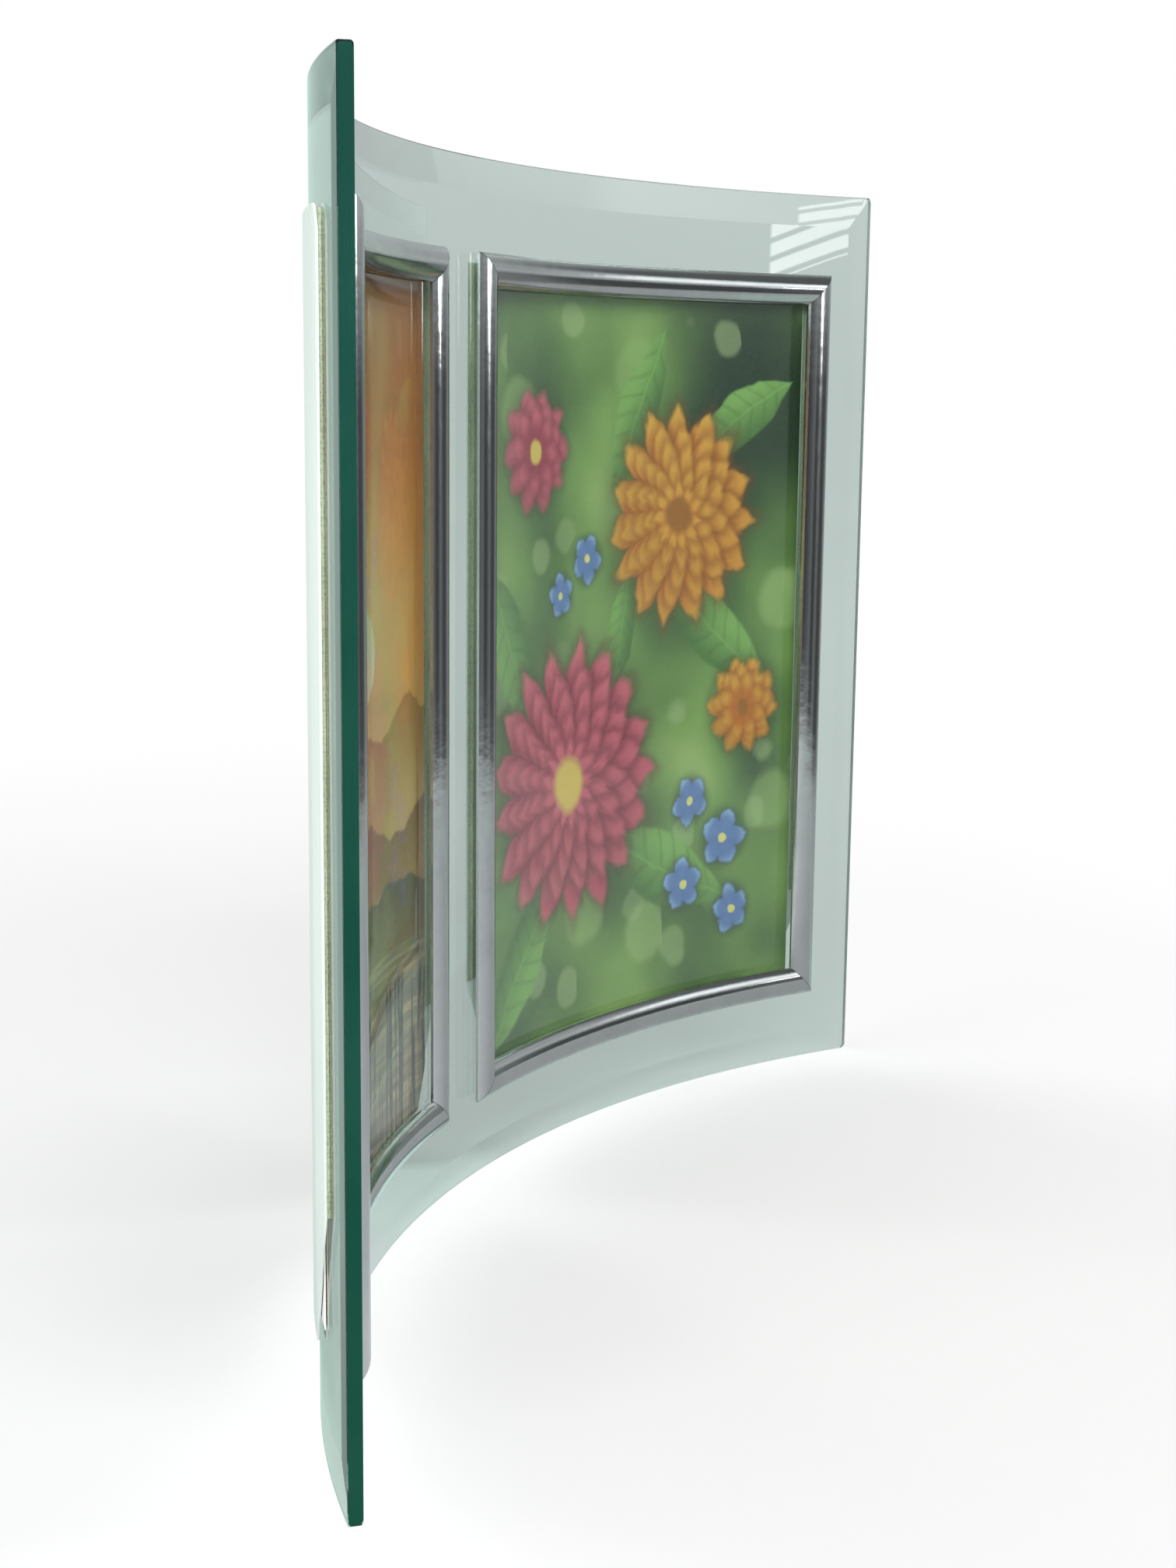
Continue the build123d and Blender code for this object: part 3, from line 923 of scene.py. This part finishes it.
class PHOTOFRAME_OT_back_panels(bpy.types.Operator):
    """Models the white back panels, their lower corners cut away below the side tapes"""

    bl_idname = "photo_frame.back_panels"
    bl_label = "Back Panels"

    def execute(self, context):
        plan = layout()
        sizes = plan.sizes
        finish = panel_finish()
        for name, side in SIDES.items():
            first, last = plan.span(side, plan.frame_half)
            bm = flat_box(first, last, plan.panel_front, plan.panel_back, plan.panel_foot, plan.panel_top)
            upper_edges = edges_where(bm, lambda point: point.z > plan.tape_foot)
            corners = through_edges(upper_edges, sizes.panel_thickness)
            round_edges(bm, corners, sizes.panel_top_radius, segments=8)
            for way in (-1, 1):
                trim(bm, *plan.corner_cut(side * plan.frame_centre, way))
            round_edges(bm, sharp_edges(bm.edges, PANEL_RIM_ANGLE), sizes.panel_rounding, segments=2)
            cut_across(bm, first, last, sizes.bend_step)
            bend_mesh(bm, plan)
            add_piece(bm, f"{name}_back_panel", "frame", [finish])
        return {"FINISHED"}


def curl_corner(bm, centre, plan):
    """Curls a print's right lower corner back, where the panel's corner is cut away."""
    point, normal = plan.corner_cut(centre, 1)
    corner = Vector((centre + plan.print_half, 0.0, plan.print_foot))
    reach = (corner - point).dot(normal)
    for step in range(CURL_STEPS):
        cut(bm, point + normal * reach * step / CURL_STEPS, normal)
    for vert in bm.verts:
        beyond = max(0.0, (vert.co - point).dot(normal) / reach)
        vert.co.y += plan.sizes.print_curl * beyond ** CURL_POWER


def make_print(name, finishes):
    """Models one print: a thin sheet with its picture in front. The left one has a curled corner."""
    plan = layout()
    first, last = plan.span(SIDES[name], plan.print_half)
    bm = flat_box(first, last, plan.print_front, plan.print_back, plan.print_foot, plan.print_top)
    bm.normal_update()
    for face in bm.faces:
        face.material_index = 0 if face.normal.y < -FACING else 1
    cut_across(bm, first, last, plan.sizes.bend_step)
    picture = bm.loops.layers.uv.new("picture")
    for face in bm.faces:
        for loop in face.loops:
            across = (loop.vert.co.x - first) / (last - first)
            up = (loop.vert.co.z - plan.print_foot) / (plan.print_top - plan.print_foot)
            loop[picture].uv = (across, up)
    if name == "left":
        curl_corner(bm, SIDES[name] * plan.frame_centre, plan)
    bend_mesh(bm, plan)
    add_piece(bm, f"{name}_print", f"{name}_print", finishes)


class PHOTOFRAME_OT_prints(bpy.types.Operator):
    """Models the two prints, a dusk on the left and a garden on the right"""

    bl_idname = "photo_frame.prints"
    bl_label = "Prints"

    def execute(self, context):
        back = paper_finish()
        make_print("left", [dusk_picture_finish(), back])
        make_print("right", [garden_picture_finish(), back])
        return {"FINISHED"}


def seen_rays(bench):
    """Factor that is 1 for the rays that show the background: camera, glossy and transmission rays."""
    path = bench.add("ShaderNodeLightPath")
    total = path.outputs["Is Camera Ray"]
    for kind in ("Is Glossy Ray", "Is Transmission Ray"):
        total = bench.math("MAXIMUM", total, path.outputs[kind])
    return total


# Room that shows in reflections: its glow at headings in degrees from -Y towards +X, level by level
ROOM_STRENGTH = 8.0
ROOM_TINT = (0.95, 1.0, 1.03)
ROOM_BACK_TINT = (0.79, 1.04, 0.96)
ROOM_BACK_HEADING = 116
ROOM_TABLE = (
    (-180, 0.85), (-130, 0.85), (-108, 0.75), (-80, 0.84), (-55, 0.8), (-34, 0.7), (-8, 0.65), (28, 0.55),
    (52, 0.5), (105, 0.45), (124, 0.2), (142, 0.85), (180, 0.85),
)
ROOM_WALLS = (
    (-180, 0.85), (-150, 0.8), (-122, 0.5), (-100, 0.08), (-80, 0.06), (-55, 0.12), (-34, 0.2), (-22, 0.08),
    (-8, 0.07), (2, 0.18), (12, 0.2), (26, 0.08), (48, 0.1), (58, 0.26), (80, 0.3), (100, 0.4), (122, 0.85),
    (180, 0.85),
)
ROOM_SILLS = (
    (-180, 0.9), (-130, 0.6), (-108, 0.2), (-80, 0.25), (-57, 0.35), (-36, 0.5), (-8, 0.7), (30, 0.7),
    (52, 0.6), (98, 0.6), (118, 0.82), (150, 0.78), (180, 0.9),
)
ROOM_WINDOWS = (
    (-180, 0.8), (-130, 0.5), (-108, 0.2), (-80, 0.25), (-57, 0.35), (-36, 0.5), (-24, 0.8), (5, 0.9),
    (12, 1.6), (42, 1.6), (49, 0.6), (58, 0.5), (98, 0.52), (118, 0.9), (150, 0.85), (180, 0.8),
)
ROOM_CEILING = (
    (-180, 0.15), (-110, 0.3), (-60, 0.5), (-10, 0.3), (0, 0.12), (58, 0.16), (72, 0.35), (85, 0.55),
    (98, 0.85), (120, 0.85), (180, 0.15),
)

# Where each level of the room takes over from the one below, as a rise in room radii
TABLE_RISE = (0.003, 0.006)
SILL_RISE = (0.22, 0.34)
WINDOW_RISE = (0.35, 0.42)
CEILING_RISE = (0.52, 0.62)

# The table in metres: its outer edge, its height, and the painted contact shadow close behind the glass
TABLE_EDGE = (0.5, 0.66)
TABLE_LIFT = 0.0003
CONTACT_SHADOW_TINT = (0.5, 0.68, 0.6)
CONTACT_SHADOW_REACH = (0.012, 0.05)


class Blind(NamedTuple):
    """One bright window with slanted slats: slats to a rise of one radius, and its bounds."""

    slats: int
    slant: tuple
    share: tuple


# The last one is lower than a slat, and so a plain pane
ROOM_BLINDS = (
    Blind(80, (0.784, 0.826), (0.5265, 0.558)),
    Blind(140, (1.0, 1.038), (0.536, 0.5595)),
    Blind(2, (0.712, 0.8), (0.48, 0.527)),
)
SLAT_TILT = 0.9
SLAT_GLOW = 7.0
SLAT_EDGE = (0.1, 0.2)
BLIND_EDGE = 0.001


def room_band(bench, share, stops):
    """Glow of one level of the room by heading, greener behind the glass."""
    tones = []
    for heading, glow in stops:
        tint = ROOM_BACK_TINT if abs(heading) > ROOM_BACK_HEADING else ROOM_TINT
        tones.append((heading / 360 + 0.5, tuple(part * glow / ROOM_STRENGTH for part in tint)))
    return bench.ramp(share, tones)


def contact_shade(bench, place):
    """Share of the table's own glow, which gives way to a painted contact shadow, a deeper tone, close
    behind the foot of the glass.
    """
    plan = layout()
    axis = bench.mapping(place, (1.0, 1.0, 0.0), shift=(0.0, -plan.axis_y, 0.0))
    reach = bench.math("SUBTRACT", bench.distance(axis), plan.radius + plan.glass_back)
    in_front = bench.spread(reach, -plan.glass_back, 0.0, 1.0, 0.0)
    return bench.math("MAXIMUM", in_front, bench.spread(reach, *CONTACT_SHADOW_REACH))


def blind_light(bench, slant, share, blind):
    """Factor that is 1 on the lit slats of a window and 0 between and around them."""
    fold = bench.math("PINGPONG", bench.math("MULTIPLY", slant, blind.slats), 0.5)
    lit = bench.spread(fold, *SLAT_EDGE)
    for value, (low, high) in ((slant, blind.slant), (share, blind.share)):
        lit = bench.math("MULTIPLY", lit, bench.spread(value, low, low + BLIND_EDGE))
        lit = bench.math("MULTIPLY", lit, bench.spread(value, high, high + BLIND_EDGE, 1.0, 0.0))
    return lit


def room_finish(radius):
    """Glow of the room by heading and by height."""
    bench = Bench("room_glow")
    place = bench.coordinates()
    across, deep, up = bench.split(place)
    heading = bench.math("ARCTAN2", across, bench.math("MULTIPLY", deep, -1.0))
    share = bench.math("MULTIPLY_ADD", heading, 1 / (2 * pi), 0.5)
    rise = bench.math("DIVIDE", up, radius)
    reach = bench.distance(bench.mapping(place, (1.0, 1.0, 0.0)))
    contact_shadow = tuple(part / ROOM_STRENGTH for part in CONTACT_SHADOW_TINT)
    # Close behind the foot of the glass the table takes a deeper tone: a painted contact shadow
    tone = bench.mix(contact_shade(bench, place), contact_shadow, room_band(bench, share, ROOM_TABLE))
    off_table = bench.math("MAXIMUM", bench.spread(reach, *TABLE_EDGE), bench.spread(rise, *TABLE_RISE))
    tone = bench.mix(off_table, tone, room_band(bench, share, ROOM_WALLS))
    levels = ((ROOM_SILLS, SILL_RISE), (ROOM_WINDOWS, WINDOW_RISE), (ROOM_CEILING, CEILING_RISE))
    for stops, bounds in levels:
        tone = bench.mix(bench.spread(rise, *bounds), tone, room_band(bench, share, stops))
    slant = bench.math("MULTIPLY_ADD", share, SLAT_TILT, rise)
    for blind in ROOM_BLINDS:
        tone = bench.mix(blind_light(bench, slant, share, blind), tone, (SLAT_GLOW / ROOM_STRENGTH,) * 3)
    return bench.surface(bench.add("ShaderNodeEmission", {"Color": tone, "Strength": ROOM_STRENGTH}))


# Glow that keeps the floor white, at distances from its middle in metres
FLOOR_FILL = ((0.3, 0.22), (1.0, 0.40), (1.5, 0.52), (2.0, 0.61), (3.0, 0.70))
FLOOR_FILL_REACH = 5.0
FLOOR_SIZE = 20.0
FLOOR_TINT = (0.55, 0.55, 0.55)


def floor_finish():
    """Matt white floor that keeps the shadow."""
    bench = Bench("white_floor")
    reach = bench.spread(bench.distance(bench.coordinates()), 0.0, FLOOR_FILL_REACH)
    stops = [(distance / FLOOR_FILL_REACH, (strength,) * 3) for distance, strength in FLOOR_FILL]
    fill = bench.math("MULTIPLY", seen_rays(bench), bench.ramp(reach, stops))
    glow = bench.add("ShaderNodeEmission", {"Strength": fill})
    matt = bench.add("ShaderNodeBsdfDiffuse", {"Color": FLOOR_TINT})
    return bench.surface(bench.add("ShaderNodeAddShader", {0: glow.outputs[0], 1: matt.outputs[0]}))


class Lamp(NamedTuple):
    """One soft square lamp: its place and size in metres, and the setting that gives its power."""

    place: tuple
    size: float
    setting: str


LAMPS = {
    "key_lamp": Lamp((-0.9, -1.25, 1.0), 1.2, "key"),
    "fill_lamp": Lamp((1.2, -0.9, 0.9), 0.8, "fill"),
    "back_lamp": Lamp((0.3, 1.5, 1.2), 1.2, "back"),
    "side_lamp": Lamp((-1.5, 0.35, 0.7), 1.0, "side"),
    "near_lamp": Lamp((-1.45, -0.6, 0.75), 0.5, "near"),
}
LAMP_AIM = Vector((0.0, 0.0, 0.1))


class PHOTOFRAME_OT_stage(bpy.types.Operator):
    """Sets up the white floor and world, the room in reflections, the lamps and the camera"""

    bl_idname = "photo_frame.stage"
    bl_label = "Stage"

    def execute(self, context):
        scene = context.scene
        stage = settings().stage
        scene.view_settings.view_transform = "Standard"
        self.make_world(scene, stage)
        self.make_floor()
        self.make_room(stage)
        self.make_lamps(scene, stage)
        self.make_camera(scene, stage)
        return {"FINISHED"}

    def make_world(self, scene, stage):
        """White world where it shows, and soft light from all round."""
        bench = Bench("white_room", "World")
        light = bench.add("ShaderNodeBackground", {"Color": (1.0, 1.0, 1.0), "Strength": stage.ambient})
        white = bench.add("ShaderNodeBackground", {"Color": (1.0, 1.0, 1.0), "Strength": 1.0})
        choice = {0: seen_rays(bench), 1: light.outputs[0], 2: white.outputs[0]}
        scene.world = bench.surface(bench.add("ShaderNodeMixShader", choice))

    def make_floor(self):
        """Large floor."""
        bm = bmesh.new()
        bmesh.ops.create_grid(bm, x_segments=1, y_segments=1, size=FLOOR_SIZE)
        floor = add_object(bm, "floor", [floor_finish()])

    def make_room(self, stage):
        """Room seen only in reflections: a pale table just over the floor, walls, windows and a ceiling."""
        bm = bmesh.new()
        bmesh.ops.create_uvsphere(bm, u_segments=64, v_segments=32, radius=stage.room_radius)
        trim(bm, Vector((0.0, 0.0, TABLE_LIFT)), Vector((0.0, 0.0, -1.0)))
        room = add_object(bm, "room", [room_finish(stage.room_radius)])
        for ray in ("camera", "diffuse", "transmission", "shadow", "volume_scatter"):
            setattr(room, f"visible_{ray}", False)

    def make_lamps(self, scene, stage):
        """Soft lamps: front key, far fill, one behind, one beside the near end and one by the camera."""
        for name, lamp in LAMPS.items():
            light = bpy.data.lights.new(name, "AREA")
            light.size = lamp.size
            light.energy = getattr(stage, lamp.setting)
            holder = bpy.data.objects.new(name, light)
            holder.location = lamp.place
            holder.visible_glossy = False
            holder.rotation_euler = (LAMP_AIM - Vector(lamp.place)).to_track_quat("-Z", "Y").to_euler()
            scene.collection.objects.link(holder)

    def make_camera(self, scene, stage):
        """Camera at the photograph's viewing angle."""
        plan = layout()
        data = bpy.data.cameras.new("camera")
        data.lens = stage.lens
        data.shift_x = stage.shift_x
        data.shift_y = stage.shift_y
        ahead = Vector((
            sin(stage.yaw) * cos(stage.pitch), cos(stage.yaw) * cos(stage.pitch), sin(stage.pitch)
        ))
        right = Vector((cos(stage.yaw), -sin(stage.yaw), 0.0))
        up = right.cross(ahead)
        turn = Matrix((right, up, -ahead)).transposed() @ Matrix.Rotation(stage.roll, 3, "Z")
        camera = bpy.data.objects.new("camera", data)
        middle = Vector((0.0, plan.axis_y + plan.radius, 0.0))
        camera.matrix_world = Matrix.Translation(middle + Vector(stage.camera_offset)) @ turn.to_4x4()
        scene.collection.objects.link(camera)
        scene.camera = camera


class PHOTOFRAME_PT_sidebar(bpy.types.Panel):
    """Lists the pieces and settings of the photo frame"""

    bl_idname = "PHOTOFRAME_PT_sidebar"
    bl_label = "Photo Frame"
    bl_space_type = "VIEW_3D"
    bl_region_type = "UI"
    bl_category = "Photo Frame"

    def draw(self, context):
        for operator in OPERATORS:
            self.layout.operator(operator.bl_idname)
        for group in (settings().sizes, settings().colours, settings().stage):
            box = self.layout.box()
            for name in group.__annotations__:
                box.prop(group, name)


OPERATORS = (
    PHOTOFRAME_OT_glass,
    PHOTOFRAME_OT_mouldings,
    PHOTOFRAME_OT_bonds,
    PHOTOFRAME_OT_tapes,
    PHOTOFRAME_OT_back_panels,
    PHOTOFRAME_OT_prints,
    PHOTOFRAME_OT_stage,
)
GROUPS = (PhotoFrameSizes, PhotoFrameColours, PhotoFrameStage, PhotoFrameSettings)
CLASSES = (*GROUPS, *OPERATORS, PHOTOFRAME_PT_sidebar)


def register():
    for item in CLASSES:
        bpy.utils.register_class(item)
    bpy.types.Scene.photo_frame = PointerProperty(type=PhotoFrameSettings)


def unregister():
    del bpy.types.Scene.photo_frame
    for item in reversed(CLASSES):
        bpy.utils.unregister_class(item)


def main():
    """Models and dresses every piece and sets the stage."""
    register()
    bpy.ops.photo_frame.glass()
    bpy.ops.photo_frame.mouldings()
    bpy.ops.photo_frame.bonds()
    bpy.ops.photo_frame.tapes()
    bpy.ops.photo_frame.back_panels()
    bpy.ops.photo_frame.prints()
    bpy.ops.photo_frame.stage()


if __name__ == "__main__":
    main()
